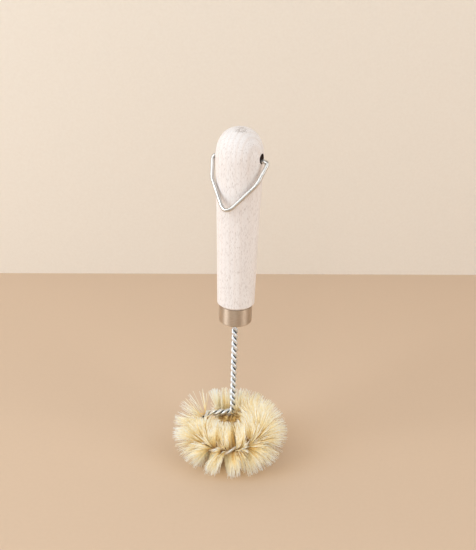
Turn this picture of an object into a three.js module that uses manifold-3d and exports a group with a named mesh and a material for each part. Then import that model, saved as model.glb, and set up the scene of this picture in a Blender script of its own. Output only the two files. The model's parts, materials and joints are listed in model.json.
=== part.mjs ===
// A sink brush: a turned beech handle with a hanging loop, a metal ferrule, and a stem of two
// twisted wires whose lower end grips natural bristles and is bent round into a ring.
// Millimetres, +Z up. The ring is centred over the origin and stands on Z = 0.
import * as THREE from "three";
import { mergeVertices } from "three/addons/utils/BufferGeometryUtils.js";
import Module from "manifold-3d";

const { degToRad, lerp, smoothstep } = THREE.MathUtils;

// Fits
const CLEARANCE = 0.3; // between pieces that touch
const BORE_CLEARANCE = 0.35; // round the twisted stem, in the handle and the ferrule

// Wire of the stem
const WIRE_DIAMETER = 1.75;
const STRAND_GAP = 0.35; // between the two wires of the bare stem
const STEM_PITCH = 7.84; // one full turn of the twist on the stem
const RING_PITCH = 16.1; // one full turn where the bristles hold the wires apart
const TWIST_START = degToRad(135); // of the first wire about the core, at the upper end of the stem
const STEM_LENGTH = 59.2; // from the arm up to the underside of the ferrule
const STEM_INSERT = 22; // from the underside of the ferrule up to the stem's end in the bore
const STEM_BACK = 14; // stem behind the middle of the ring
const STEM_ASIDE = 1.2; // stem to the right of the middle of the ring
const FOOT_BEND_RADIUS = 3; // where the stem turns into the arm
const ARM_RISE = 6.4; // arm above the plane of the ring
const ARM_LEAD = 4; // straight run between the arm's corner and the ring
const ARM_BEND_RADIUS = 3.5;
const PARTING_LENGTH = 4; // in which the wires spread to take the bristles in
const WIRE_SIDES = 6;
const WIRE_STEPS = 160;
const STATION_STEP = 0.25; // between the places worked out along the core of the wires
const BARE_STEP = 2; // between the places that bristles are kept away from

// Ring of bristles
const RING_RADIUS = 16.8; // to the core of the wires
const RING_START = degToRad(152); // seen from above, counted from +X
const RING_END = degToRad(481);
const RING_SETTLE = degToRad(48); // turn in which the wires come down from the arm
const RING_RISE = 2.2; // the right and back of the ring are higher than its front left
const RING_RISE_FROM = degToRad(240);
const RING_RISE_TO = degToRad(345);
const TAIL_LENGTH = 2; // bare wire past the last bristles
const BRISTLE_REACH = 15.6; // from the core of the wires to the bristle tips
const BRISTLE_WEAR = 2; // worn off the bristles that point down where the ring is lowest
const STAND_CUT = 0.5; // cut flat off the tips that the brush stands on
const STAND_STRETCH = 1.4; // most that slanting strands are longer, to stand on the surface too
const RING_HOLE_RADIUS = 7; // left open in the middle of the ring
const BACKING_THICKNESS = 0.4; // layer of bristles squeezed between the wires
const BACKING_WIDTH = 1.2;
const BACKING_STEP = 1.1;
const BRISTLE_SPACING = 0.37; // along the wires, for the strand on each side
const BRISTLE_ROOT_WIDTH = 0.22;
const BRISTLE_TIP_WIDTH = 0.75;
const BRISTLE_SIDES = 3;
const BRISTLE_FAN = degToRad(40); // most that a strand strays round the wires
const BRISTLE_SPLAY = degToRad(16); // most that a strand strays along the wires
const FIRST_FLARE = degToRad(30); // most that the first strands lean out along the wires
const LAST_FLARE = degToRad(6); // and the last ones, which stand upright
const FLARE_LENGTH = 6; // of wire at each end
const BRISTLE_ROOT_ZONE = 3; // strands are allowed to lie close together up to here
const BRISTLE_SPREAD_ZONE = 8; // and have their full room from here on
const BRISTLE_CLOSE_ROOM = 0.5; // least distance between strand cores, near the root
const QUARTERS = [
  { name: "bristles_left", from: RING_START, to: degToRad(225) },
  { name: "bristles_front", from: degToRad(225), to: degToRad(315) },
  { name: "bristles_right", from: degToRad(315), to: degToRad(405) },
  { name: "bristles_back", from: degToRad(405), to: RING_END },
];

// Ferrule
const FERRULE_DIAMETER = 18.2;
const FERRULE_LENGTH = 10.4;
const FERRULE_WALL = 0.6;
const FERRULE_EDGE_RADIUS = 1.4;

// Handle
const HANDLE_LENGTH = 98.5; // from the shoulder on the ferrule to the crown
const HEAD_DIAMETER = 25;
const WAIST_DIAMETER = 22.5;
const WAIST_HEIGHT = 46.4; // above the shoulder
const FOOT_DIAMETER = 20.4;
const FOOT_CHAMFER = 1.2;
const CROWN_HEIGHT = 16; // from the widest part of the head to the top
const CROWN_FULLNESS = 2.3; // 2 is an ellipse, more is blunter
const CROSS_HOLE_DIAMETER = 5.4;
const CROSS_HOLE_DROP = 14.85; // below the top
const CROSS_HOLE_TURN = degToRad(-23.8); // the right end of the hole is turned to the front
const TURNED_SIDES = 36; // facets round turned pieces
const TURNED_STEPS = 8; // facets along a curved profile

// Hanging loop
const LOOP_WIRE_DIAMETER = 2.2;
const LOOP_SIDE_GAP = 2; // between the loop's legs and the head
const LOOP_KNEE_TUCK = 3; // knees nearer to the middle than the ends are, on each side
const LOOP_KNEE_DROP = 12.5; // from the pivot to the knees
const LOOP_REACH = 30.9; // from the pivot to where the two long legs would meet
const LOOP_SLIP = 0.5; // the loop has slipped to the right in its hole
const LOOP_END_DEPTH = 8; // of each end in the cross hole
const LOOP_CORNER_RADIUS = 2.2;
const LOOP_KNEE_RADIUS = 11;
const LOOP_TIP_RADIUS = 4.5;
const LOOP_SIDES = 8;
const LOOP_STEPS = 64;

// Heights and radii that follow from the sizes above
const wireRadius = WIRE_DIAMETER / 2;
const stemOffset = wireRadius + STRAND_GAP / 2;
const ringOffset = wireRadius + CLEARANCE + BACKING_THICKNESS / 2;
const stemRadius = stemOffset + wireRadius;
const boreRadius = stemRadius + BORE_CLEARANCE;
const ringHeight = BRISTLE_REACH - BRISTLE_WEAR - STAND_CUT;
const armHeight = ringHeight + ARM_RISE;
const ferruleBase = armHeight + STEM_LENGTH;
const ferruleRim = ferruleBase + FERRULE_LENGTH;
const shoulder = ferruleRim + CLEARANCE;
const ferruleInnerRadius = FERRULE_DIAMETER / 2 - FERRULE_WALL;
const spigotRadius = ferruleInnerRadius - CLEARANCE;
const spigotEnd = ferruleBase + FERRULE_WALL + CLEARANCE;
const stemTop = ferruleBase + STEM_INSERT;
const headRadius = HEAD_DIAMETER / 2;
const headHeight = HANDLE_LENGTH - CROWN_HEIGHT;
const crossHoleHeight = shoulder + HANDLE_LENGTH - CROSS_HOLE_DROP;
const loopRadius = LOOP_WIRE_DIAMETER / 2;
const pivotHeight = crossHoleHeight - CROSS_HOLE_DIAMETER / 2 + loopRadius + CLEARANCE;

const beech = new THREE.MeshStandardMaterial({ color: 0xeee0d2, roughness: 0.75 });
const nickel = new THREE.MeshStandardMaterial({ color: 0xa08a70, roughness: 0.35, metalness: 1 });
const galvanised = new THREE.MeshStandardMaterial({ color: 0xb4babd, roughness: 0.35, metalness: 1 });
const fibre = new THREE.MeshStandardMaterial({ color: 0xe6d3a0, roughness: 0.9 });

const wasm = await Module();
wasm.setup();

// A closed geometry as a solid that can be joined and cut.
function solidFrom(geometry) {
  const bare = new THREE.BufferGeometry();
  bare.setAttribute("position", geometry.getAttribute("position"));
  bare.setIndex(geometry.index);
  const merged = mergeVertices(bare);
  const corners = [];
  for (let i = 0; i < merged.index.count; i += 3) {
    const [a, b, c] = merged.index.array.slice(i, i + 3);
    if (a !== b && b !== c && c !== a) corners.push(a, b, c);
  }
  return new wasm.Manifold(
    new wasm.Mesh({
      numProp: 3,
      vertProperties: merged.attributes.position.array,
      triVerts: new Uint32Array(corners),
    }),
  );
}

// The geometry of a solid.
function geometryFrom(solid) {
  const { vertProperties, triVerts } = solid.getMesh();
  const geometry = new THREE.BufferGeometry();
  geometry.setAttribute("position", new THREE.BufferAttribute(vertProperties, 3));
  geometry.setIndex(new THREE.BufferAttribute(triVerts, 1));
  geometry.computeVertexNormals();
  return geometry;
}

// A named piece of the brush.
function piece(name, geometry, material) {
  const mesh = new THREE.Mesh(geometry, material);
  mesh.name = name;
  return mesh;
}

// A profile of [radius, height] points turned about the Z axis.
function turned(profile) {
  const points = profile.map(([radius, height]) => new THREE.Vector2(radius, height));
  return new THREE.LatheGeometry(points, TURNED_SIDES).rotateX(Math.PI / 2);
}

// A closed skin over sections that have as many points each, counted the same way round.
function skin(sections) {
  const sides = sections[0].length;
  const last = (sections.length - 1) * sides;
  const index = [];
  for (let k = 0; k < last; k += sides)
    for (let i = 0; i < sides; i++) {
      const next = (i + 1) % sides;
      index.push(k + i, k + next, k + sides + next, k + i, k + sides + next, k + sides + i);
    }
  for (let i = 1; i < sides - 1; i++) {
    index.push(0, i + 1, i);
    index.push(last, last + i, last + i + 1);
  }
  const geometry = new THREE.BufferGeometry().setFromPoints(sections.flat());
  return geometry.setIndex(index);
}

// Straight runs joined by bends, with one radius for each inner corner.
function bentPath(corners, radii) {
  const path = new THREE.CurvePath();
  let start = corners[0];
  radii.forEach((radius, i) => {
    const corner = corners[i + 1];
    const before = corners[i].clone().sub(corner).normalize();
    const after = corners[i + 2].clone().sub(corner).normalize();
    const setback = radius / Math.tan(before.angleTo(after) / 2);
    const bendStart = before.multiplyScalar(setback).add(corner);
    const bendEnd = after.multiplyScalar(setback).add(corner);
    path.add(new THREE.LineCurve3(start, bendStart));
    path.add(new THREE.QuadraticBezierCurve3(bendStart, corner, bendEnd));
    start = bendEnd;
  });
  path.add(new THREE.LineCurve3(start, corners.at(-1)));
  return path;
}

// Round wire along a curve.
function wireAlong(curve, radius, sides, steps) {
  const section = new THREE.Shape();
  for (let i = 0; i < sides; i++) {
    const angle = (2 * Math.PI * i) / sides;
    const method = i ? "lineTo" : "moveTo";
    section[method](radius * Math.cos(angle), radius * Math.sin(angle));
  }
  return new THREE.ExtrudeGeometry(section, { steps, extrudePath: curve });
}

// The core of the ring. It starts at the height of the arm, settles, and rises again.
class RingCurve extends THREE.Curve {
  getPoint(t, target = new THREE.Vector3()) {
    const turn = lerp(RING_START, RING_END, t);
    const settled = smoothstep(turn, RING_START, RING_START + RING_SETTLE);
    const risen = smoothstep(turn, RING_RISE_FROM, RING_RISE_TO);
    const height = ringHeight + ARM_RISE * (1 - settled) + RING_RISE * risen;
    return target.set(RING_RADIUS * Math.cos(turn), RING_RADIUS * Math.sin(turn), height);
  }
}

// The core line of the stem, from its end in the handle to the tail of the ring.
const ringCurve = new RingCurve();
const ringEntry = ringCurve.getPoint(0);
const armCorner = new THREE.Vector3(Math.sin(RING_START), -Math.cos(RING_START), 0)
  .multiplyScalar(ARM_LEAD)
  .add(ringEntry);
const core = bentPath(
  [
    new THREE.Vector3(STEM_ASIDE, STEM_BACK, stemTop),
    new THREE.Vector3(STEM_ASIDE, STEM_BACK, armHeight),
    armCorner,
    ringEntry,
  ],
  [FOOT_BEND_RADIUS, ARM_BEND_RADIUS],
);
const bareLength = core.getLength();
const partingStart = bareLength - PARTING_LENGTH;
core.add(ringCurve);
core.updateArcLengths();
const coreLength = core.getLength();

// Stations along the core, each with a normal that is carried along without turning about it.
const stations = [];
const stationCount = Math.ceil(coreLength / STATION_STEP);
for (let i = 0; i <= stationCount; i++) {
  const t = i / stationCount;
  const point = core.getPoint(t);
  const tangent = core.getTangent(t);
  const normal = (stations.at(-1)?.normal ?? new THREE.Vector3(0, 1, 0)).clone();
  normal.addScaledVector(tangent, -normal.dot(tangent)).normalize();
  stations.push({ point, tangent, normal });
}

// Place on the core at a length from its start, with a unit vector at an angle about it.
function coreAt(length) {
  const at = (length / coreLength) * stationCount;
  const index = Math.min(Math.floor(at), stationCount - 1);
  const before = stations[index];
  const after = stations[index + 1];
  const share = at - index;
  const point = before.point.clone().lerp(after.point, share);
  const tangent = before.tangent.clone().lerp(after.tangent, share).normalize();
  const normal = before.normal.clone().lerp(after.normal, share);
  const across = (angle) => normal.clone().applyAxisAngle(tangent, angle);
  return { point, tangent, across };
}

// Angle of the twist about the core, which is slower from where the wires part. They are laid to the left.
function twistAt(length) {
  const bare = Math.min(length, partingStart) / STEM_PITCH;
  const held = Math.max(length - partingStart, 0) / RING_PITCH;
  return TWIST_START - 2 * Math.PI * (bare + held);
}

// One of the two wires, which stand further apart where bristles lie between them.
class TwistedWire extends THREE.Curve {
  constructor(phase) {
    super();
    this.phase = phase;
    this.arcLengthDivisions = 2000;
  }
  getPoint(t, target = new THREE.Vector3()) {
    const length = t * coreLength;
    const { point, across } = coreAt(length);
    const apart = smoothstep(length, partingStart, bareLength);
    const offset = lerp(stemOffset, ringOffset, apart);
    return target.copy(across(twistAt(length) + this.phase)).multiplyScalar(offset).add(point);
  }
}

// The same run of numbers from 0 to 1 at every build.
function steadyRandom(seed) {
  let state = seed;
  return () => {
    state = (state * 16807) % 2147483647;
    return state / 2147483647;
  };
}

// Length along the core at which the ring has turned to an angle.
function lengthAtTurn(turn) {
  const share = (turn - RING_START) / (RING_END - RING_START);
  const lengths = ringCurve.getLengths();
  return bareLength + lengths[Math.round(share * (lengths.length - 1))];
}

// The layer of bristles squeezed between the wires, from one length along the core to another.
function backing(from, to) {
  const steps = Math.ceil((to - from) / BACKING_STEP);
  const sections = [];
  for (let i = 0; i <= steps; i++) {
    const length = lerp(from, to, i / steps);
    const { point, across } = coreAt(length);
    const thick = across(twistAt(length)).multiplyScalar(BACKING_THICKNESS / 2);
    const wide = across(twistAt(length) + Math.PI / 2).multiplyScalar(BACKING_WIDTH / 2);
    const corner = (a, b) => point.clone().addScaledVector(thick, a).addScaledVector(wide, b);
    sections.push([corner(1, 1), corner(-1, 1), corner(-1, -1), corner(1, -1)]);
  }
  return skin(sections);
}

// Share of a line at which it enters a round hole about the Z axis, or 1 if it stays outside.
function shareToHole({ start, end }, radius) {
  const runX = end.x - start.x;
  const runY = end.y - start.y;
  const run = runX * runX + runY * runY;
  const inward = start.x * runX + start.y * runY;
  const outside = start.x * start.x + start.y * start.y - radius * radius;
  const depth = inward * inward - run * outside;
  const share = (-inward - Math.sqrt(Math.max(depth, 0))) / run;
  return depth > 0 && share > 0 ? Math.min(share, 1) : 1;
}

// Core line of a bristle strand from the backing to its tip, or to the hole in the ring.
function bristleLine(length, side, fan, splay) {
  const { point, tangent, across } = coreAt(length);
  const angle = twistAt(length) + (side * Math.PI) / 2;
  const start = across(angle).multiplyScalar(BACKING_WIDTH / 2 - BRISTLE_ROOT_WIDTH).add(point);
  const aim = across(angle + fan).multiplyScalar(Math.cos(splay));
  aim.addScaledVector(tangent, Math.sin(splay));
  const low = 1 - smoothstep(point.z, ringHeight, ringHeight + RING_RISE);
  const wear = BRISTLE_WEAR * low * Math.max(0, -aim.z);
  const roundReach = BRISTLE_REACH - wear - start.distanceTo(point);
  const standReach = aim.z < 0 ? (start.z + STAND_CUT) / -aim.z : Infinity;
  const reach = standReach < roundReach + STAND_STRETCH ? standReach : roundReach;
  const line = new THREE.Line3(start, start.clone().addScaledVector(aim, reach));
  line.end = line.at(shareToHole(line, RING_HOLE_RADIUS), new THREE.Vector3());
  return line;
}

// Part of a line, between two distances from its start.
function stretch(line, from, to) {
  const length = line.distance();
  const end = (distance) => line.at(Math.min(distance / length, 1), new THREE.Vector3());
  return new THREE.Line3(end(from), end(to));
}

// True if two lines keep a distance from each other.
function keepApart(a, b, distance) {
  return a.distanceSqToLine3(b) > distance * distance;
}

// The bare stem and arm as short straight stretches that bristles have to pass at a distance.
function bareStretches() {
  const count = Math.floor(bareLength / BARE_STEP);
  const corners = Array.from({ length: count + 1 }, (_, i) => coreAt(i * BARE_STEP).point);
  return corners.slice(1).map((corner, i) => new THREE.Line3(corners[i], corner));
}

// Lean along the wires of the strands near the two ends, where no neighbour holds them upright.
function flareAt(length, from, to) {
  const first = 1 - smoothstep(length, from, from + FLARE_LENGTH);
  const last = smoothstep(length, to - FLARE_LENGTH, to);
  return LAST_FLARE * last - FIRST_FLARE * first;
}

// Bristle strands of the whole ring. One that would cross another, the stem or the arm is left out.
function layBristles(from, to) {
  const random = steadyRandom(41);
  const spread = (most) => most * (2 * random() - 1);
  const bare = bareStretches();
  const bareRoom = stemRadius + BRISTLE_TIP_WIDTH / 2 + CLEARANCE;
  const fullRoom = BRISTLE_TIP_WIDTH + CLEARANCE / 2;
  const laid = [];
  for (let length = from; length < to; length += BRISTLE_SPACING)
    for (const side of [1, -1]) {
      const splay = spread(BRISTLE_SPLAY) + random() * flareAt(length, from, to);
      const line = bristleLine(length, side, spread(BRISTLE_FAN), splay);
      const close = stretch(line, BRISTLE_ROOT_ZONE, BRISTLE_SPREAD_ZONE);
      const full = stretch(line, BRISTLE_SPREAD_ZONE, BRISTLE_REACH);
      const free =
        laid.every(
          (other) =>
            keepApart(full, other.full, fullRoom) &&
            keepApart(full, other.close, fullRoom) &&
            keepApart(close, other.full, fullRoom) &&
            keepApart(close, other.close, BRISTLE_CLOSE_ROOM),
        ) && bare.every((run) => keepApart(line, run, bareRoom));
      if (free) laid.push({ length, line, close, full });
    }
  return laid;
}

// One strand, which stands for a lock of fibres and widens to its tip.
function strand(line) {
  const aim = line.delta(new THREE.Vector3()).normalize();
  const flat = new THREE.Vector3(-aim.y, aim.x, 0).normalize();
  const section = (centre, width) =>
    Array.from({ length: BRISTLE_SIDES }, (_, i) => {
      const turn = (2 * Math.PI * i) / BRISTLE_SIDES;
      return flat.clone().applyAxisAngle(aim, turn).multiplyScalar(width / 2).add(centre);
    });
  return skin([section(line.start, BRISTLE_ROOT_WIDTH), section(line.end, BRISTLE_TIP_WIDTH)]);
}

// The four quarters of the ring of bristles, cut flat where the brush stands.
function bristlePieces() {
  const first = lengthAtTurn(RING_START);
  const last = lengthAtTurn(RING_END) - TAIL_LENGTH;
  const laid = layBristles(first + BACKING_STEP, last - BACKING_STEP / 2);
  const size = 4 * (RING_RADIUS + BRISTLE_REACH);
  const floor = solidFrom(new THREE.BoxGeometry(size, size, size).translate(0, 0, -size / 2));
  return QUARTERS.map(({ name, from, to }) => {
    const start = lengthAtTurn(from) + CLEARANCE / 2;
    const end = Math.min(lengthAtTurn(to), last) - CLEARANCE / 2;
    const room = BRISTLE_ROOT_WIDTH / 2;
    const own = laid.filter(({ length }) => length > start + room && length < end - room);
    let quarter = solidFrom(backing(start, end));
    for (const { line } of own) quarter = quarter.add(solidFrom(strand(line)));
    return piece(name, geometryFrom(quarter.subtract(floor)), fibre);
  });
}

// Drawn cup with a rounded lower edge and a hole for the stem.
function ferrule() {
  const outer = FERRULE_DIAMETER / 2;
  const profile = [
    [boreRadius, FERRULE_WALL],
    [boreRadius, 0],
  ];
  for (let i = 0; i <= TURNED_STEPS / 2; i++) {
    const angle = (i / (TURNED_STEPS / 2)) * (Math.PI / 2);
    profile.push([
      outer - FERRULE_EDGE_RADIUS * (1 - Math.sin(angle)),
      FERRULE_EDGE_RADIUS * (1 - Math.cos(angle)),
    ]);
  }
  profile.push([outer, FERRULE_LENGTH], [ferruleInnerRadius, FERRULE_LENGTH]);
  profile.push([ferruleInnerRadius, FERRULE_WALL], profile[0]);
  const cup = piece("ferrule", turned(profile), nickel);
  cup.position.set(STEM_ASIDE, STEM_BACK, ferruleBase);
  return cup;
}

// Side of the handle from the chamfer up to the top, as [radius, height above the shoulder].
function handleSide() {
  const taper = new THREE.SplineCurve([
    new THREE.Vector2(FOOT_DIAMETER / 2, FOOT_CHAMFER),
    new THREE.Vector2(WAIST_DIAMETER / 2, WAIST_HEIGHT),
    new THREE.Vector2(headRadius, headHeight),
  ]);
  const side = taper.getPoints(TURNED_STEPS).map(({ x, y }) => [x, y]);
  for (let i = 1; i <= TURNED_STEPS; i++) {
    const angle = (i / TURNED_STEPS) * (Math.PI / 2);
    const power = 2 / CROWN_FULLNESS;
    const narrowing = i < TURNED_STEPS ? Math.cos(angle) ** power : 0;
    side.push([headRadius * narrowing, headHeight + CROWN_HEIGHT * Math.sin(angle) ** power]);
  }
  return side;
}

// Radius of the handle's side at a height above the shoulder.
function handleRadiusAt(height) {
  const side = handleSide();
  const above = Math.max(side.findIndex(([, top]) => top >= height), 1);
  const [lowRadius, low] = side[above - 1];
  const [highRadius, high] = side[above];
  return lerp(lowRadius, highRadius, (height - low) / (high - low));
}

// Turned handle with its spigot, the bore for the stem and the cross hole for the loop.
function handle() {
  const footRadius = FOOT_DIAMETER / 2 - FOOT_CHAMFER;
  const below = spigotEnd - shoulder;
  const outline = [[0, below], [spigotRadius, below], [spigotRadius, 0], [footRadius, 0], ...handleSide()];
  const boreLength = STEM_INSERT + wireRadius + CLEARANCE;
  const bore = new THREE.CylinderGeometry(boreRadius, boreRadius, boreLength, TURNED_SIDES / 2);
  bore.rotateX(Math.PI / 2).translate(0, 0, ferruleBase - shoulder + boreLength / 2);
  const holeRadius = CROSS_HOLE_DIAMETER / 2;
  const hole = new THREE.CylinderGeometry(holeRadius, holeRadius, 2 * HEAD_DIAMETER, TURNED_SIDES / 2);
  hole.rotateZ(Math.PI / 2).rotateZ(CROSS_HOLE_TURN).translate(0, 0, crossHoleHeight - shoulder);
  const wood = solidFrom(turned(outline)).subtract(solidFrom(bore)).subtract(solidFrom(hole));
  const made = piece("handle", geometryFrom(wood), beech);
  made.position.set(STEM_ASIDE, STEM_BACK, shoulder);
  return made;
}

// Loop in its own plane: X along the cross hole, Y down from the pivot.
function loopPath() {
  const end = headRadius + LOOP_SIDE_GAP + loopRadius;
  const knee = end - LOOP_KNEE_TUCK;
  const inHole = headRadius - LOOP_END_DEPTH;
  const corners = [
    [inHole, 0],
    [end, 0],
    [knee, LOOP_KNEE_DROP],
    [0, LOOP_REACH],
    [-knee, LOOP_KNEE_DROP],
    [-end, 0],
    [-inHole, 0],
  ];
  return bentPath(
    corners.map(([x, y]) => new THREE.Vector3(x + LOOP_SLIP, y, 0)),
    [LOOP_CORNER_RADIUS, LOOP_KNEE_RADIUS, LOOP_TIP_RADIUS, LOOP_KNEE_RADIUS, LOOP_CORNER_RADIUS],
  );
}

// Angle from straight down at which the loop lies on the front of the handle.
function loopRestAngle(path) {
  const points = path.getSpacedPoints(4 * LOOP_STEPS).filter(({ y }) => y > LOOP_CORNER_RADIUS);
  const room = loopRadius + CLEARANCE;
  const clears = (angle) =>
    points.every(({ x, y }) => {
      const height = pivotHeight - shoulder - y * Math.cos(angle);
      return Math.hypot(x, y * Math.sin(angle)) > handleRadiusAt(height) + room;
    });
  let inside = 0;
  let outside = Math.PI / 2;
  while (outside - inside > degToRad(0.01)) {
    const middle = (inside + outside) / 2;
    if (clears(middle)) outside = middle;
    else inside = middle;
  }
  return outside;
}

// Wire loop that swings in the cross hole, lying on the front of the handle.
function hangingLoop() {
  const path = loopPath();
  const wire = wireAlong(path, loopRadius, LOOP_SIDES, LOOP_STEPS);
  const loop = piece("hanging_loop", wire, galvanised);
  loop.rotation.x = -Math.PI / 2 - loopRestAngle(path);
  const pivot = new THREE.Group();
  pivot.rotation.z = CROSS_HOLE_TURN;
  pivot.position.set(STEM_ASIDE, STEM_BACK, pivotHeight);
  pivot.add(loop);
  return pivot;
}

const brush = new THREE.Group();
brush.name = "sink_brush";
brush.add(handle(), ferrule(), hangingLoop(), ...bristlePieces());
for (const [name, phase] of [
  ["stem_wire_a", 0],
  ["stem_wire_b", Math.PI],
])
  brush.add(piece(name, wireAlong(new TwistedWire(phase), wireRadius, WIRE_SIDES, WIRE_STEPS), galvanised));

export default brush;
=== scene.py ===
import json
import math
import random
from bisect import bisect_right

import bmesh
import bpy
from mathutils import Matrix, Quaternion, Vector
from mathutils.geometry import interpolate_bezier
from mathutils.kdtree import KDTree


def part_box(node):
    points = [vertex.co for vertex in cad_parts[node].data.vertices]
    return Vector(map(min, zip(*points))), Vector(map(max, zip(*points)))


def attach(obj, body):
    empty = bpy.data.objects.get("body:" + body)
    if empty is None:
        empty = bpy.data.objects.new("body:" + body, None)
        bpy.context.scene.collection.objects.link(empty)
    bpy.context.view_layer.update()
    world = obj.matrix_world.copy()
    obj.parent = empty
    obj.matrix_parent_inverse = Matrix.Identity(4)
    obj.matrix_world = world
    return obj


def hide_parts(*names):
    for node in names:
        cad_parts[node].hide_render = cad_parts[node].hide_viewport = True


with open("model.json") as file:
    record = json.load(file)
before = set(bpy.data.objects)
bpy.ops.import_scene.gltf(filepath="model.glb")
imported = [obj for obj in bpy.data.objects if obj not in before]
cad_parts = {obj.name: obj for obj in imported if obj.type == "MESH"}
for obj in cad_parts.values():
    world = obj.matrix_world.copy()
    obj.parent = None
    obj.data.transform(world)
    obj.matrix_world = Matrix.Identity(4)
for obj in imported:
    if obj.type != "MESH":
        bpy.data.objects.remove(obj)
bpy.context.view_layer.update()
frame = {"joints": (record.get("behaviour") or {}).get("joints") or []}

# Stem: two soft iron wires, galvanised and twisted together to the left. Their upper ends are pushed
# into the handle. Below, the pair turns into a short arm and a ring, where it grips the bristles.
WIRE_RADIUS = 0.00095
WIRE_SIDES = 12
WIRE_STEP = 0.0004
STEM_OFFSET = 0.00097
RING_OFFSET = 0.0013
STEM_PITCH = 0.00784
RING_PITCH = 0.0161
TWIST_START = math.radians(135)
STEM_LENGTH = 0.0592
STEM_INSERT = 0.022
FOOT_BEND = 0.003
ARM_BEND = 0.0035
ARM_LEAD = 0.004
ARM_RISE = 0.0064
PARTING = 0.004
RING_RADIUS = 0.0168
RING_START = math.radians(152)
RING_END = math.radians(481)
RING_SETTLE = math.radians(48)
RING_RISE = 0.0022
RING_RISE_FROM = math.radians(240)
RING_RISE_TO = math.radians(345)
BEND_STEPS = 24
RING_STEPS = 400
# Heights above the core, as shares of a wire's reach, over which the painted shade in the groove fades
# out.
GROOVE_SHADE_FLOOR = 0.4
GROOVE_SHADE_EDGE = 0.68

ferrule_low, ferrule_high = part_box("ferrule")
axis_x = (ferrule_low.x + ferrule_high.x) / 2
axis_y = (ferrule_low.y + ferrule_high.y) / 2
arm_height = ferrule_low.z - STEM_LENGTH
ring_height = arm_height - ARM_RISE


def ease(value, start, end):
    """Share from 0 to 1 of the way from start to end, with a soft beginning and finish."""
    share = min(max((value - start) / (end - start), 0), 1)
    return share * share * (3 - 2 * share)


def bent_path(corners, radii):
    """Points along straight runs that are joined by round bends."""
    points = [corners[0]]
    for before, corner, after, radius in zip(corners, corners[1:], corners[2:], radii):
        back = (before - corner).normalized()
        onward = (after - corner).normalized()
        setback = radius / math.tan(back.angle(onward) / 2)
        start = corner + back * setback
        end = corner + onward * setback
        for i in range(BEND_STEPS + 1):
            share = i / BEND_STEPS
            points.append(start.lerp(corner, share).lerp(corner.lerp(end, share), share))
    points.append(corners[-1])
    return points


def evenly(points, step):
    """The same path, as points that are about a step apart, and its length."""
    marks = [0.0]
    for a, b in zip(points, points[1:]):
        marks.append(marks[-1] + (b - a).length)
    count = math.ceil(marks[-1] / step)
    spaced = []
    for i in range(count + 1):
        at = marks[-1] * i / count
        k = min(bisect_right(marks, at), len(points) - 1)
        share = (at - marks[k - 1]) / (marks[k] - marks[k - 1])
        spaced.append(points[k - 1].lerp(points[k], share))
    return spaced, marks[-1]


def ring_point(turn):
    """Place on the core of the ring, which comes down from the arm and rises again on its far side."""
    lowered = ARM_RISE * (1 - ease(turn, RING_START, RING_START + RING_SETTLE))
    risen = RING_RISE * ease(turn, RING_RISE_FROM, RING_RISE_TO)
    height = ring_height + lowered + risen
    return Vector((RING_RADIUS * math.cos(turn), RING_RADIUS * math.sin(turn), height))


ring_entry = ring_point(RING_START)
arm_corner = ring_entry + Vector((math.sin(RING_START), -math.cos(RING_START), 0)) * ARM_LEAD
bare = bent_path(
    [
        Vector((axis_x, axis_y, ferrule_low.z + STEM_INSERT)),
        Vector((axis_x, axis_y, arm_height)),
        arm_corner,
        ring_entry,
    ],
    [FOOT_BEND, ARM_BEND],
)
bare_stations, bare_length = evenly(bare, WIRE_STEP)
parting_start = bare_length - PARTING
turns = [RING_START + (RING_END - RING_START) * i / RING_STEPS for i in range(1, RING_STEPS + 1)]
core, core_length = evenly(bare + [ring_point(turn) for turn in turns], WIRE_STEP)
core_normals = [Vector((0, 1, 0))]
core_tangents = []
for i in range(len(core)):
    tangent = (core[min(i + 1, len(core) - 1)] - core[max(i - 1, 0)]).normalized()
    normal = core_normals[-1] - tangent * core_normals[-1].dot(tangent)
    core_tangents.append(tangent)
    core_normals.append(normal.normalized())
core_normals.pop(0)


def core_at(length):
    """Place, heading and sideways direction of the core at a length from its upper end."""
    at = min(max(length / core_length, 0), 1) * (len(core) - 1)
    k = min(int(at), len(core) - 2)
    share = at - k
    point = core[k].lerp(core[k + 1], share)
    tangent = core_tangents[k].lerp(core_tangents[k + 1], share).normalized()
    normal = core_normals[k].lerp(core_normals[k + 1], share).normalized()
    return point, tangent, normal


def twist_at(length):
    """Turn of the pair of wires about the core, slower from where they part for the bristles."""
    bare_turns = min(length, parting_start) / STEM_PITCH
    ring_turns = max(length - parting_start, 0) / RING_PITCH
    return TWIST_START - 2 * math.pi * (bare_turns + ring_turns)


def wire_points(phase):
    """Centre line of one of the two wires."""
    points = []
    for i in range(len(core)):
        length = core_length * i / (len(core) - 1)
        offset = STEM_OFFSET + (RING_OFFSET - STEM_OFFSET) * ease(length, parting_start, bare_length)
        aside = Quaternion(core_tangents[i], twist_at(length) + phase) @ core_normals[i]
        points.append(core[i] + aside * offset)
    return points


def finished(name, shape):
    """The piece that a modelled shape makes."""
    mesh = bpy.data.meshes.new(name)
    shape.to_mesh(mesh)
    shape.free()
    piece = bpy.data.objects.new(name, mesh)
    bpy.context.scene.collection.objects.link(piece)
    return piece


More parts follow.
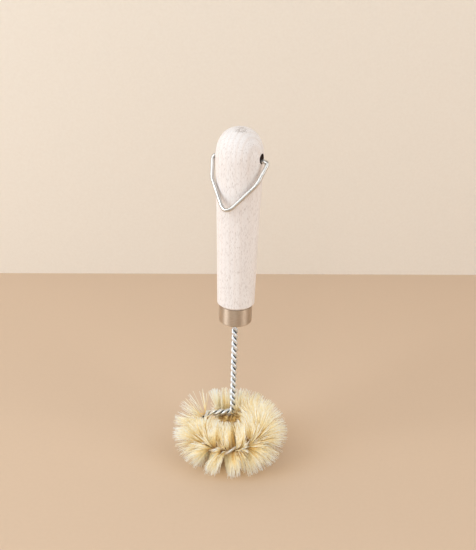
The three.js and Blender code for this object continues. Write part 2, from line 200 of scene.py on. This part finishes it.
def drawn_wire(name, points, radius, sides):
    """A wire as it is drawn: a round disc is extruded from point to point and turned with the path."""
    shape = bmesh.new()
    heading = (points[1] - points[0]).normalized()
    place = Matrix.Translation(points[0]) @ heading.to_track_quat("Z", "Y").to_matrix().to_4x4()
    bmesh.ops.create_circle(shape, cap_ends=True, segments=sides, radius=radius, matrix=place)
    end = next(iter(shape.faces))
    for i in range(1, len(points)):
        onward = (points[min(i + 1, len(points) - 1)] - points[i - 1]).normalized()
        turn = heading.rotation_difference(onward).to_matrix().to_4x4()
        move = Matrix.Translation(points[i]) @ turn @ Matrix.Translation(-points[i - 1])
        end = bmesh.ops.extrude_discrete_faces(shape, faces=[end])["faces"][0]
        bmesh.ops.transform(shape, matrix=move, verts=end.verts)
        heading = onward
    for face in shape.faces:
        face.smooth = face != end
    bmesh.ops.holes_fill(shape, edges=[edge for edge in shape.edges if edge.is_boundary])
    bmesh.ops.recalc_face_normals(shape, faces=shape.faces)
    return finished(name, shape)


def chip(red, green, blue):
    """Scene colour from a colour chip's values of 0 to 255."""
    shares = [value / 255 for value in (red, green, blue)]
    return [s / 12.92 if s <= 0.04045 else ((s + 0.055) / 1.055) ** 2.4 for s in shares] + [1]


class Finish:
    """A material that is put together node by node, with its patterns measured in millimetres."""

    def __init__(self, name, **shader):
        self.material = bpy.data.materials.new(name)
        self.material.use_nodes = True
        self.tree = self.material.node_tree
        self.shader = self.tree.nodes["Principled BSDF"]
        for socket, value in shader.items():
            self.shader.inputs[socket.replace("_", " ")].default_value = value

    def feed(self, socket, value):
        """Gives an input its value, or links it to the socket that has it."""
        if isinstance(value, bpy.types.NodeSocket):
            self.tree.links.new(value, socket)
        else:
            socket.default_value = value

    def node(self, kind, inputs=None, **settings):
        """A new node with its inputs and settings."""
        made = self.tree.nodes.new("ShaderNode" + kind)
        for setting, value in settings.items():
            setattr(made, setting, value)
        for socket, value in (inputs or {}).items():
            self.feed(made.inputs[socket], value)
        return made

    def place(self, stretch=(1, 1, 1), centre=(0, 0, 0)):
        """Coordinates in millimetres about a centre, squeezed where a pattern is drawn out."""
        coordinates = self.node("TexCoord").outputs["Object"]
        scale = [1000 * share for share in stretch]
        move = [-at * size for at, size in zip(centre, scale)]
        mapping = self.node("Mapping", {"Vector": coordinates, "Location": move, "Scale": scale})
        return mapping.outputs["Vector"]

    def noise(self, vector, scale, detail=2):
        """Cloudy pattern from 0 to 1."""
        inputs = {"Vector": vector, "Scale": scale, "Detail": detail}
        return self.node("TexNoise", inputs).outputs["Fac"]

    def ramp(self, share, *stops):
        """Colour from stops, each a place from 0 to 1 and a colour."""
        made = self.node("ValToRGB", {"Fac": share})
        elements = made.color_ramp.elements
        for i, (place, colour) in enumerate(stops):
            element = elements[i] if i < len(elements) else elements.new(place)
            element.position = place
            element.color = colour
        return made.outputs["Color"]

    def grade(self, share, *stops):
        """Number from stops, each a place from 0 to 1 and a number."""
        return self.ramp(share, *((place, (value, value, value, 1)) for place, value in stops))

    def mix(self, share, first, second, blend="MIX"):
        """Two colours mixed by a share."""
        made = self.node("Mix", data_type="RGBA", blend_type=blend)
        values = {"Factor_Float": share, "A_Color": first, "B_Color": second}
        for socket in made.inputs:
            if socket.identifier in values:
                self.feed(socket, values[socket.identifier])
        return next(socket for socket in made.outputs if socket.identifier == "Result_Color")

    def set(self, socket, value):
        """Links a pattern to the shader."""
        self.tree.links.new(value, self.shader.inputs[socket])

    def bump(self, height, strength, depth):
        """Relief of a depth in metres."""
        inputs = {"Height": height, "Strength": strength, "Distance": depth}
        self.set("Normal", self.node("Bump", inputs).outputs["Normal"])

    def clear(self, share, colour):
        """Lets light pass in a colour, by a share that tells which light."""
        passing = self.node("BsdfTransparent", {"Color": colour}).outputs["BSDF"]
        both = self.node("MixShader", {0: share, 1: self.shader.outputs["BSDF"], 2: passing})
        self.tree.links.new(both.outputs["Shader"], self.tree.nodes["Material Output"].inputs["Surface"])

    def dress(self, piece):
        """Gives the finish to a piece."""
        piece.data.materials.append(self.material)


zinc = Finish("zinc_coated_wire", Metallic=0.8)
spangle = zinc.noise(zinc.place(), scale=0.35)
bright = zinc.ramp(spangle, (0.3, chip(220, 226, 233)), (0.7, chip(245, 247, 250)))
# Painted shade: the zinc is coloured dark grey where it lies deep in the groove between the two wires.
above_core = zinc.node("Attribute", attribute_name="height").outputs["Fac"]
clear_of_groove_shade = zinc.grade(above_core, (GROOVE_SHADE_FLOOR, 0.0), (GROOVE_SHADE_EDGE, 1.0))
zinc.set("Base Color", zinc.mix(clear_of_groove_shade, chip(104, 112, 122), bright))
zinc.set("Roughness", zinc.grade(spangle, (0.3, 0.3), (0.7, 0.42)))
zinc.bump(zinc.noise(zinc.place(), scale=1.5), strength=0.1, depth=0.00002)


def feeler(points):
    """A function that measures how far any place is from the nearest of the points."""
    tree = KDTree(len(points))
    for i, point in enumerate(points):
        tree.insert(point, i)
    tree.balance()
    return lambda place: tree.find(place)[2]


# A wire's height above the core is kept at each corner, so that shade can be painted into the groove
# between the two wires.
wire_reach = STEM_OFFSET + WIRE_RADIUS
height_above_core = feeler(core)
for name, phase in [("stem_wire_a", 0), ("stem_wire_b", math.pi)]:
    wire = drawn_wire(name + "_drawn", wire_points(phase), WIRE_RADIUS, WIRE_SIDES)
    heights = [height_above_core(corner.co) / wire_reach for corner in wire.data.vertices]
    wire.data.attributes.new("height", "FLOAT", "POINT").data.foreach_set("value", heights)
    zinc.dress(wire)
    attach(wire, "brush")
    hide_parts(name)

# Bristles: locks of blond natural fibre, laid between the two wires before they are twisted. The
# twist turns the locks into a screw of fibres, which was then trimmed round and has worn below.
FIBRE_REACH = 0.016
FIBRE_WEAR = 0.002
FIBRE_SHARES = [0, 0.07, 0.5, 1]
FIBRE_SIDES = 3
FIBRE_WIDTH = 0.00034
FIBRE_TAPER = 0.35
FIBRE_ROOT = 0.000002
FIBRE_WELD = 0.000005
LOCKS_PER_SIDE = 540
FIBRES_PER_LOCK = 6
FIBRE_SEED = 7
FRONT_FAN = math.radians(46)
TOP_FAN = math.radians(62)
SIDE_FAN = math.radians(85)
START_FAN = math.radians(70)
END_FAN = math.radians(22)
END_LEAN = math.radians(40)
END_TUFT = 0.0025
END_LOCKS = 15
RING_FRONT = math.radians(270)
FRONT_WIDTH = math.radians(30)
SIDE_FROM = math.radians(65)
LOCK_SPLAY = math.radians(4)
LOCK_LENGTH = 0.0004
LOCK_TRIM = 0.97
LEAST_PALE = 0.1
PALE_SPREAD = 0.4
FIRST_FLARE = math.radians(38)
LAST_FLARE = math.radians(4)
FLARE_LENGTH = 0.006
FIBRE_FAN = math.radians(3)
FIBRE_SPLAY = math.radians(2)
FIBRE_BOW = 0.00025
STAND_STRETCH = 0.0014
FIBRE_HOLE = 0.0069
FIBRE_CLEAR = 0.0021
CLEAR_SHARES = [0.33, 0.67, 1]
ARM_SIDE = math.radians(178)
ARM_PUSH = 0.4
ARM_STRAYS = 0.12
START_SHARE = 0.3
FIBRE_UNEVEN = 0.16
# Painted shade in the hole of the ring: fibres that end inside it are coloured darker and more golden.
HOLE_SHADE = 0.14
HOLE_SHADE_DEPTH = 0.005
HOLE_SHADE_TOP = 0.026
# Painted light: fibres that end near the table are coloured paler, to lift the shade under the ring.
LOW_TIP_LIGHT = 0.8
LOW_TIP_LIGHT_HEIGHT = 0.014
TAIL = 0.002
ARM_GRIP = 0.0018
FIBRE_CORE = 0.0003
QUARTERS = [
    ("bristles_left", math.radians(225)),
    ("bristles_front", math.radians(315)),
    ("bristles_right", math.radians(405)),
    ("bristles_back", RING_END),
]

straw = Finish("blond_fibre", Sheen_Weight=0.1, Sheen_Roughness=0.4)
along = straw.node("Attribute", attribute_name="along").outputs["Fac"]
tone = straw.node("Attribute", attribute_name="tone").outputs["Fac"]
golden = straw.ramp(
    along, (0.0, chip(212, 159, 86)), (0.3, chip(251, 219, 146)), (1.0, chip(253, 239, 201))
)
pale = straw.ramp(
    along, (0.0, chip(240, 208, 146)), (0.3, chip(255, 249, 220)), (1.0, chip(255, 255, 252))
)
straw.set("Base Color", straw.mix(tone, golden, pale))
straw.set("Roughness", straw.grade(tone, (0.0, 0.42), (1.0, 0.56)))

# The fibres are thin, so a tinted part of the lamps' light passes them and reaches into the ring.
lamp_light = straw.node("LightPath").outputs["Is Shadow Ray"]
tint = straw.ramp(
    along, (0.0, chip(200, 179, 138)), (0.5, chip(243, 236, 216)), (1.0, chip(250, 246, 236))
)
straw.clear(lamp_light, tint)

first_length = bare_length - ARM_GRIP
last_length = core_length - TAIL
arm_share = (ARM_SIDE - RING_START) / (RING_END - RING_START)
arm_side_length = bare_length + (core_length - bare_length) * arm_share
distance_to_stem = feeler(bare_stations[: -round(ARM_GRIP / WIRE_STEP)])


def free_of_hole(root, aim, reach):
    """Reach of a fibre that stops where it would enter the hole in the middle of the ring."""
    run = aim.x * aim.x + aim.y * aim.y
    inward = root.x * aim.x + root.y * aim.y
    outside = root.x * root.x + root.y * root.y - FIBRE_HOLE * FIBRE_HOLE
    depth = inward * inward - run * outside
    if depth <= 0 or inward >= 0:
        return reach
    return min(reach, (-inward - math.sqrt(depth)) / run)


def fibre_points(length, side, fan, splay, trim, bow):
    """Points of one fibre from its root between the wires to its tip."""
    point, tangent, normal = core_at(length)
    across = Quaternion(tangent, twist_at(length) + side * math.pi / 2 + fan) @ normal
    aim = across * math.cos(splay) + tangent * math.sin(splay)
    root = point + across * FIBRE_CORE
    low = 1 - ease(point.z, ring_height, ring_height + RING_RISE)
    reach = FIBRE_REACH * trim - FIBRE_WEAR * low * max(0, -aim.z)
    if aim.z < 0:
        to_floor = root.z / -aim.z
        reach = to_floor if to_floor < reach + STAND_STRETCH else reach
    reach = free_of_hole(root, aim, reach)
    points = [root + aim * reach * share + bow * share * share for share in FIBRE_SHARES]
    points[-1].z = max(points[-1].z, FIBRE_WIDTH / 2)
    return points


def clear_of_stem(points):
    """True if a fibre passes the bare stem and arm at a distance."""
    for a, b in zip(points[1:], points[2:]):
        for share in CLEAR_SHARES:
            if distance_to_stem(a.lerp(b, share)) < FIBRE_CLEAR:
                return False
    return True


def beside_arm(points):
    """True if a fibre leans outwards or down, so that the arm above the first locks leaves it room."""
    aim = (points[-1] - points[0]).normalized()
    outward = Vector((points[0].x, points[0].y, 0)).normalized()
    return aim.z < 0 or aim.dot(outward) > ARM_PUSH


def start_share(length, points):
    """Share of the fibres that are left at the start of the ring, where the arm has rubbed them off."""
    share = START_SHARE + (1 - START_SHARE) * ease(length, first_length, arm_side_length)
    return share if beside_arm(points) else share * ARM_STRAYS


def section(points, i):
    """The corners of a fibre at one of its points."""
    aim = (points[-1] - points[0]).normalized()
    first = aim.orthogonal().normalized()
    width = FIBRE_WIDTH if i else FIBRE_ROOT
    width *= 1 - FIBRE_TAPER * FIBRE_SHARES[i]
    turns = [2 * math.pi * k / FIBRE_SIDES for k in range(FIBRE_SIDES)]
    return [points[i] + Quaternion(aim, turn) @ first * (width / 2) for turn in turns]


def bristle_quarter(name, fibres):
    """All the fibres of a quarter: root triangles that are extruded one by one along their fibres."""
    shape = bmesh.new()
    along_layer = shape.verts.layers.float.new("along")
    tone_layer = shape.verts.layers.float.new("tone")
    number = shape.faces.layers.int.new("number")
    ends = []
    for i, (points, tone, _) in enumerate(fibres):
        corners = [shape.verts.new(place) for place in section(points, 0)]
        for corner in corners:
            corner[tone_layer] = tone
        face = shape.faces.new(corners)
        face[number] = i
        ends.append(face)
    roots = list(shape.verts)
    for step in range(1, len(FIBRE_SHARES)):
        ends = bmesh.ops.extrude_discrete_faces(shape, faces=ends)["faces"]
        for face in ends:
            # The third value shortens the colour ramp of a fibre, for the painted shade in the hole.
            points, tone, shade_along_scale = fibres[face[number]]
            for corner, place in zip(face.verts, section(points, step)):
                corner.co = place
                corner[along_layer] = shade_along_scale * (points[step] - points[0]).length / FIBRE_REACH
                corner[tone_layer] = tone
    bmesh.ops.remove_doubles(shape, verts=roots, dist=FIBRE_WELD)
    for face in shape.faces:
        face.smooth = True
    return finished(name, shape)


def turn_at(length):
    """Angle about the middle of the ring at a length along the core."""
    return RING_START + (RING_END - RING_START) * (length - bare_length) / (core_length - bare_length)


def last_tuft(length):
    """Share by which a lock belongs to the last tuft, which stands upright behind the arm."""
    return ease(length, last_length - END_TUFT, last_length - END_TUFT / 2)


def fan_at(length, side):
    """Most that a lock strays round the wires: least below at the front and in the last tuft."""
    _, tangent, normal = core_at(length)
    upright = (Quaternion(tangent, twist_at(length) + side * math.pi / 2) @ normal).z
    aside = ease(abs(turn_at(length) - RING_FRONT), FRONT_WIDTH, SIDE_FROM)
    fan = FRONT_FAN + (TOP_FAN - FRONT_FAN) * max(upright, 0)
    fan += (SIDE_FAN - fan) * aside
    fan += (START_FAN - fan) * (1 - ease(length, first_length, first_length + FLARE_LENGTH))
    return fan + (END_FAN - fan) * last_tuft(length)


def flare_at(length):
    """Lean along the wires of the locks near both ends, where no neighbour holds them upright."""
    first = 1 - ease(length, first_length, first_length + FLARE_LENGTH)
    last = ease(length, last_length - FLARE_LENGTH, last_length)
    return LAST_FLARE * last - FIRST_FLARE * first


def hole_shade_at(tip):
    """Share of painted shade on a fibre that ends inside the ring and below its top, where the hole is
    in shade.
    """
    inside = 1 - ease(math.hypot(tip.x, tip.y), FIBRE_HOLE, FIBRE_HOLE + HOLE_SHADE_DEPTH)
    return inside * (1 - ease(tip.z, HOLE_SHADE_TOP - HOLE_SHADE_DEPTH, HOLE_SHADE_TOP))


dice = random.Random(FIBRE_SEED)
quarter_fibres = {name: [] for name, _ in QUARTERS}
for lock in range(LOCKS_PER_SIDE + END_LOCKS):
    for side in (1, -1):
        share = min((lock + dice.random()) / LOCKS_PER_SIDE, 1)
        lock_length = first_length + (last_length - first_length) * share
        lock_fan = dice.uniform(-1, 1) * fan_at(lock_length, side) - END_LEAN * last_tuft(lock_length)
        lock_splay = dice.uniform(-LOCK_SPLAY, LOCK_SPLAY) + dice.random() * flare_at(lock_length)
        lock_trim = dice.uniform(LOCK_TRIM, 1)
        lock_tone = max(dice.uniform(LEAST_PALE, 1), last_tuft(lock_length))
        for _ in range(FIBRES_PER_LOCK):
            length = min(max(dice.gauss(lock_length, LOCK_LENGTH), first_length), last_length)
            points = fibre_points(
                length,
                side,
                lock_fan + dice.gauss(0, FIBRE_FAN),
                lock_splay + dice.gauss(0, FIBRE_SPLAY),
                lock_trim * (1 - FIBRE_UNEVEN * dice.random() ** 2),
                Vector([dice.uniform(-FIBRE_BOW, FIBRE_BOW) for _ in range(3)]),
            )
            if not clear_of_stem(points):
                continue
            if turn_at(length) < ARM_SIDE and dice.random() > start_share(length, points):
                continue
            name = next(name for name, end in QUARTERS if turn_at(length) <= end)
            # Fibres that end near the table are painted paler, as painted light in the shade under the
            # ring.
            low_tip_light = LOW_TIP_LIGHT * (1 - ease(points[-1].z, 0, LOW_TIP_LIGHT_HEIGHT))
            paleness = min(max(lock_tone + low_tip_light + dice.gauss(0, PALE_SPREAD), 0), 1)
            # Fibres ending in the hole are painted darker and more golden, as painted shade.
            hole_shade = hole_shade_at(points[-1])
            quarter_fibres[name].append((points, paleness * (1 - hole_shade), 1 - HOLE_SHADE * hole_shade))
for name, fibres in quarter_fibres.items():
    bristles = bristle_quarter(name + "_fibres", fibres)
    straw.dress(bristles)
    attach(bristles, "brush")
    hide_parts(name)

# Ferrule: a short cup of thin nickel, drawn with a rounded lower edge and tinted warm brown, partly its
# own tint and partly painted reflection of the brown table. It is pressed over the spigot of the handle,
# and the stem passes through the hole in its floor.
FERRULE_WALL = 0.0006
FERRULE_EDGE = 0.0014
FERRULE_HOLE = 0.002275
FERRULE_SIDES = 96
FERRULE_CREASE = math.radians(40)
EDGE_STEPS = 8
SEAM_WELD = 0.000001

ferrule_radius = (ferrule_high.x - ferrule_low.x) / 2
ferrule_length = ferrule_high.z - ferrule_low.z


def turned(name, profile, sides, base, closed=False):
    """A profile of radius and height points, turned about the axis of the handle."""
    shape = bmesh.new()
    corners = [shape.verts.new((axis_x + radius, axis_y, base + height)) for radius, height in profile]
    edges = [shape.edges.new(pair) for pair in zip(corners, corners[1:])]
    if closed:
        edges.append(shape.edges.new((corners[-1], corners[0])))
    bmesh.ops.spin(
        shape,
        geom=corners + edges,
        cent=(axis_x, axis_y, 0),
        axis=(0, 0, 1),
        angle=2 * math.pi,
        steps=sides,
        use_merge=True,
    )
    bmesh.ops.remove_doubles(shape, verts=shape.verts, dist=SEAM_WELD)
    bmesh.ops.recalc_face_normals(shape, faces=shape.faces)
    for face in shape.faces:
        face.smooth = True
    return finished(name, shape)


def arc(radius, height, size, start, end, steps):
    """Points of a round edge about a centre at a radius and height, from one angle to another."""
    angles = [math.radians(start + (end - start) * i / steps) for i in range(steps + 1)]
    return [(radius + size * math.cos(angle), height + size * math.sin(angle)) for angle in angles]


cup_profile = [(FERRULE_HOLE, FERRULE_WALL), (FERRULE_HOLE, 0)]
cup_profile += arc(ferrule_radius - FERRULE_EDGE, FERRULE_EDGE, FERRULE_EDGE, 270, 360, EDGE_STEPS)
cup_profile += [(ferrule_radius, ferrule_length), (ferrule_radius - FERRULE_WALL, ferrule_length)]
cup_profile += [(ferrule_radius - FERRULE_WALL, FERRULE_WALL)]
cup = turned("ferrule_cup", cup_profile, FERRULE_SIDES, ferrule_low.z, closed=True)
cup.data.set_sharp_from_angle(angle=FERRULE_CREASE)
nickel = Finish("nickel_with_painted_reflection", Metallic=1, Anisotropic=0.8, Anisotropic_Rotation=0.25)
turning = nickel.node("Tangent", direction_type="RADIAL", axis="Z").outputs["Tangent"]
nickel.set("Tangent", turning)
scuffs = nickel.noise(nickel.place(stretch=(1, 1, 12)), scale=0.5)
# The warm brown base colour is partly the nickel's own and partly a painted reflection of the brown
# table around it.
nickel.set("Base Color", nickel.ramp(scuffs, (0.3, chip(199, 181, 162)), (0.7, chip(216, 200, 183))))
nickel.set("Roughness", nickel.grade(scuffs, (0.25, 0.46), (0.75, 0.54)))
nickel.bump(scuffs, strength=0.05, depth=0.00001)
nickel.dress(cup)
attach(cup, "brush")
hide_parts("ferrule")

# Handle: turned from pale beech, swelling towards a domed head, and only sanded. A hole is drilled
# across the head for the loop, and the foot has a small chamfer above the ferrule.
HANDLE_LENGTH = 0.0985
HEAD_RADIUS = 0.0125
WAIST_RADIUS = 0.01125
WAIST_HEIGHT = 0.0464
FOOT_RADIUS = 0.0102
FOOT_CHAMFER = 0.0012
CROWN_HEIGHT = 0.016
CROWN_FULLNESS = 2.3
CROWN_STEPS = 24
TAPER_STEPS = 24
TAPER_PULL = 6
HANDLE_SIDES = 128
HANDLE_CREASE = math.radians(35)
SPIGOT_GAP = 0.0003
CROSS_HOLE_RADIUS = 0.0027
CROSS_HOLE_DROP = 0.01485
DRILL_SIDES = 48
DRILL_LENGTH = 4 * HEAD_RADIUS
PITH_X = 0.018
PITH_Y = -0.022
END_GRAIN_X = 0.007
END_GRAIN_Y = -0.008
END_GRAIN_DROP = 0.006
CENTRE_MARK_X = 0.0003
CENTRE_MARK_Y = -0.0036

handle_low, handle_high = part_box("handle")
shoulder = handle_high.z - HANDLE_LENGTH
swing = next(joint for joint in frame["joints"] if joint["name"] == "loop_swing")
pivot = Vector(swing["pos_m"])
across_head = -Vector(swing["axis"])
foot = Vector((FOOT_RADIUS, FOOT_CHAMFER, 0))
waist = Vector((WAIST_RADIUS, WAIST_HEIGHT, 0))
head = Vector((HEAD_RADIUS, HANDLE_LENGTH - CROWN_HEIGHT, 0))
lean = (head - foot) / TAPER_PULL
foot_end = foot + (waist - foot) / TAPER_PULL
head_end = head - (head - waist) / TAPER_PULL
taper = interpolate_bezier(foot, foot_end, waist - lean, waist, TAPER_STEPS)
taper += interpolate_bezier(waist, waist + lean, head_end, head, TAPER_STEPS)[1:]
spigot = ferrule_radius - FERRULE_WALL - SPIGOT_GAP
wood_profile = [(0, handle_low.z - shoulder), (spigot, handle_low.z - shoulder), (spigot, 0)]
wood_profile += [(FOOT_RADIUS - FOOT_CHAMFER, 0)]
wood_profile += [(point.x, point.y) for point in taper]
for i in range(1, CROWN_STEPS):
    angle = math.pi / 2 * i / CROWN_STEPS
    narrowing = math.cos(angle) ** (2 / CROWN_FULLNESS)
    climb = math.sin(angle) ** (2 / CROWN_FULLNESS)
    wood_profile.append((head.x * narrowing, head.y + CROWN_HEIGHT * climb))
wood_profile.append((0, HANDLE_LENGTH))
wood = turned("handle_turned", wood_profile, HANDLE_SIDES, shoulder)

drill = bmesh.new()
hole_centre = Vector((axis_x, axis_y, handle_high.z - CROSS_HOLE_DROP))
hole_place = Matrix.Translation(hole_centre) @ across_head.to_track_quat("Z", "Y").to_matrix().to_4x4()
bmesh.ops.create_cone(
    drill,
    cap_ends=True,
    segments=DRILL_SIDES,
    radius1=CROSS_HOLE_RADIUS,
    radius2=CROSS_HOLE_RADIUS,
    depth=DRILL_LENGTH,
    matrix=hole_place,
)
drill_bit = finished("drill_bit", drill)
bore = Finish("drilled_end_grain", Roughness=0.9)
bore_clouds = bore.noise(bore.place(), scale=0.8)
# The inside of the cross hole is coloured dark brown, with a cloudy pattern.
bore.set("Base Color", bore.ramp(bore_clouds, (0.3, chip(70, 52, 42)), (0.7, chip(96, 74, 60))))
bore.bump(bore_clouds, strength=0.3, depth=0.0001)
bore.dress(drill_bit)
beech = Finish("sanded_beech")
beech.dress(wood)
cut = wood.modifiers.new("cross_hole", "BOOLEAN")
cut.object = drill_bit
cut.solver = "EXACT"
cut.material_mode = "TRANSFER"
bpy.context.view_layer.update()
drilled = bpy.data.meshes.new_from_object(wood.evaluated_get(bpy.context.evaluated_depsgraph_get()))
wood.modifiers.clear()
wood.data = drilled
wood.data.set_sharp_from_angle(angle=HANDLE_CREASE)
bpy.data.objects.remove(drill_bit)


def spot(centre, stretch):
    """Share that falls from 1 at a place on the handle to 0 around it."""
    inputs = {"Vector": beech.place(stretch, centre)}
    return beech.node("TexGradient", inputs, gradient_type="SPHERICAL").outputs["Fac"]


pith = (axis_x + PITH_X, axis_y + PITH_Y, 0)
growth = {
    "Vector": beech.place(stretch=(1, 1, 0.03), centre=pith),
    "Scale": 0.12,
    "Distortion": 1.2,
    "Detail": 2,
    "Detail Scale": 0.6,
}
rings = beech.node("TexWave", growth, wave_type="RINGS", rings_direction="Z").outputs["Fac"]
flecks = beech.noise(beech.place(stretch=(1, 1, 0.22)), scale=2.6)
clouds = beech.noise(beech.place(stretch=(1, 1, 0.3)), scale=0.12)
ground = beech.ramp(clouds, (0.3, chip(241, 234, 231)), (0.7, chip(247, 242, 240)))
dome = (axis_x + END_GRAIN_X, axis_y + END_GRAIN_Y, handle_high.z - END_GRAIN_DROP)
end_grain = spot(dome, stretch=(0.05, 0.05, 0.05))
contrast = beech.grade(end_grain, (0.2, 0.5), (0.6, 1.0))
ring_share = beech.mix(1, beech.grade(rings, (0.5, 0.0), (0.95, 0.25)), contrast, "MULTIPLY")
ringed = beech.mix(ring_share, ground, chip(220, 200, 186))
flecked = beech.mix(beech.grade(flecks, (0.54, 0.0), (0.68, 0.6)), ringed, chip(198, 184, 178))
top = (axis_x + CENTRE_MARK_X, axis_y + CENTRE_MARK_Y, handle_high.z)
centre_mark = spot(top, stretch=(0.22, 0.26, 0.26))
pores = beech.noise(beech.place(), scale=1.1)
mark_edge = beech.grade(centre_mark, (0.05, 0.0), (0.45, 1.0))
mark_share = beech.mix(1, mark_edge, beech.grade(pores, (0.46, 0.0), (0.56, 0.85)), "MULTIPLY")
beech.set("Base Color", beech.mix(mark_share, flecked, chip(186, 173, 166)))
beech.set("Roughness", beech.grade(clouds, (0.3, 0.55), (0.7, 0.7)))
beech.bump(flecks, strength=0.1, depth=0.0001)
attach(wood, "brush")
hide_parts("handle")

# Hanging loop: a piece of round galvanised steel wire bent to a pointed bow. Both ends turn inwards
# into the cross hole, where the loop swings; at rest it lies on the front of the handle.
LOOP_RADIUS = 0.0011
LOOP_SIDES = 24
LOOP_STEP = 0.0003
LOOP_END = 0.0156
LOOP_IN_HOLE = 0.0045
LOOP_KNEE = 0.0126
LOOP_KNEE_DROP = 0.0125
LOOP_REACH = 0.0309
LOOP_SLIP = 0.0005
LOOP_CORNER = 0.0022
LOOP_KNEE_BEND = 0.011
LOOP_TIP = 0.0045
LOOP_REST = math.radians(35.59)

to_front = Vector((across_head.y, -across_head.x, 0))
hang = to_front * math.sin(LOOP_REST) - Vector((0, 0, math.cos(LOOP_REST)))
loop_corners = [
    (LOOP_IN_HOLE, 0),
    (LOOP_END, 0),
    (LOOP_KNEE, LOOP_KNEE_DROP),
    (0, LOOP_REACH),
    (-LOOP_KNEE, LOOP_KNEE_DROP),
    (-LOOP_END, 0),
    (-LOOP_IN_HOLE, 0),
]
loop_bends = [LOOP_CORNER, LOOP_KNEE_BEND, LOOP_TIP, LOOP_KNEE_BEND, LOOP_CORNER]
loop_places = [pivot + across_head * (x + LOOP_SLIP) + hang * y for x, y in loop_corners]
loop_path = bent_path(loop_places, loop_bends)
loop = drawn_wire("hanging_loop_bent", evenly(loop_path, LOOP_STEP)[0], LOOP_RADIUS, LOOP_SIDES)
steel = Finish("bright_steel_wire", Metallic=1)
drawing = steel.noise(steel.place(), scale=0.3)
steel.set("Base Color", steel.ramp(drawing, (0.3, chip(210, 207, 202)), (0.7, chip(224, 221, 217))))
steel.set("Roughness", steel.grade(drawing, (0.3, 0.3), (0.7, 0.36)))
steel.bump(drawing, strength=0.02, depth=0.00001)
steel.dress(loop)
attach(loop, "loop")
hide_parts("hanging_loop")

# Stage: a plain pale table and wall, and three soft lamps, of which the one on the left is strongest.
# The camera stands at the height and distance from which the brush was photographed.
TABLE_SIZE = 3.0
WALL_DISTANCE = 0.255
WALL_TURN = math.radians(3.4)
LAMP_WIDTH = 0.45
LAMP_HEIGHT = 1.0
LAMP_AIM = Vector((0, 0, 0.08))
DAYLIGHT = (0.92, 0.97, 1.0)
WARM_LIGHT = (1.0, 0.98, 0.94)
ROOM_LIGHT = 0.34
CAMERA_PLACE = Vector((0.002, -0.4065, 0.2936))
CAMERA_PITCH = math.radians(24)
CAMERA_ROLL = math.radians(1.6)
CAMERA_LENS = 55.64
CAMERA_SENSOR = 36
CAMERA_NEAR = 0.01


def paper_board(name, place, colour):
    """A large board covered with paper, and the finish of its paper."""
    panel = bmesh.new()
    bmesh.ops.create_grid(panel, x_segments=1, y_segments=1, size=TABLE_SIZE / 2)
    bmesh.ops.transform(panel, matrix=place, verts=panel.verts)
    board = finished(name, panel)
    paper = Finish(name + "_paper", Roughness=0.9)
    grain = paper.noise(paper.place(), scale=0.5, detail=4)
    grain_share = paper.grade(grain, (0.3, 0.0), (0.7, 0.06))
    paper.set("Base Color", paper.mix(grain_share, colour, chip(190, 160, 130)))
    paper.dress(board)
    return paper


upright = Matrix.Rotation(WALL_TURN, 4, "Z") @ Matrix.Rotation(math.radians(90), 4, "X")
wall_place = Matrix.Translation((0, WALL_DISTANCE, TABLE_SIZE / 2)) @ upright
paper_board("table", Matrix.Identity(4), chip(217, 191, 165))
wall_paper = paper_board("wall", wall_place, chip(235, 225, 212))

# The wall is clear from behind, so that the brush is seen from all sides.
wall_paper.clear(wall_paper.node("NewGeometry").outputs["Backfacing"], chip(255, 255, 255))

for name, place, power, colour in [
    ("key", Vector((-0.78, -0.34, 0.45)), 6.1, DAYLIGHT),
    ("fill", Vector((0.75, -0.36, 0.52)), 3.7, WARM_LIGHT),
    ("front", Vector((-0.1, -0.85, 0.8)), 2.7, DAYLIGHT),
]:
    lamp = bpy.data.lights.new(name, "AREA")
    lamp.shape = "RECTANGLE"
    lamp.size = LAMP_WIDTH
    lamp.size_y = LAMP_HEIGHT
    lamp.energy = power
    lamp.color = colour
    lamp_object = bpy.data.objects.new(name, lamp)
    lamp_object.location = place
    lamp_object.rotation_euler = (LAMP_AIM - place).to_track_quat("-Z", "Y").to_euler()
    bpy.context.scene.collection.objects.link(lamp_object)

world = bpy.data.worlds.new("room")
world.use_nodes = True
room = world.node_tree.nodes["Background"]
room.inputs["Color"].default_value = chip(247, 248, 250)
room.inputs["Strength"].default_value = ROOM_LIGHT
bpy.context.scene.world = world

camera = bpy.data.cameras.new("camera")
camera.sensor_width = CAMERA_SENSOR
camera.lens = CAMERA_LENS
camera.clip_start = CAMERA_NEAR
camera_object = bpy.data.objects.new("camera", camera)
tilt = Matrix.Rotation(math.radians(90) - CAMERA_PITCH, 4, "X") @ Matrix.Rotation(CAMERA_ROLL, 4, "Z")
camera_object.matrix_world = Matrix.Translation(CAMERA_PLACE) @ tilt
bpy.context.scene.collection.objects.link(camera_object)
bpy.context.scene.camera = camera_object
bpy.context.scene.view_settings.view_transform = "Standard"
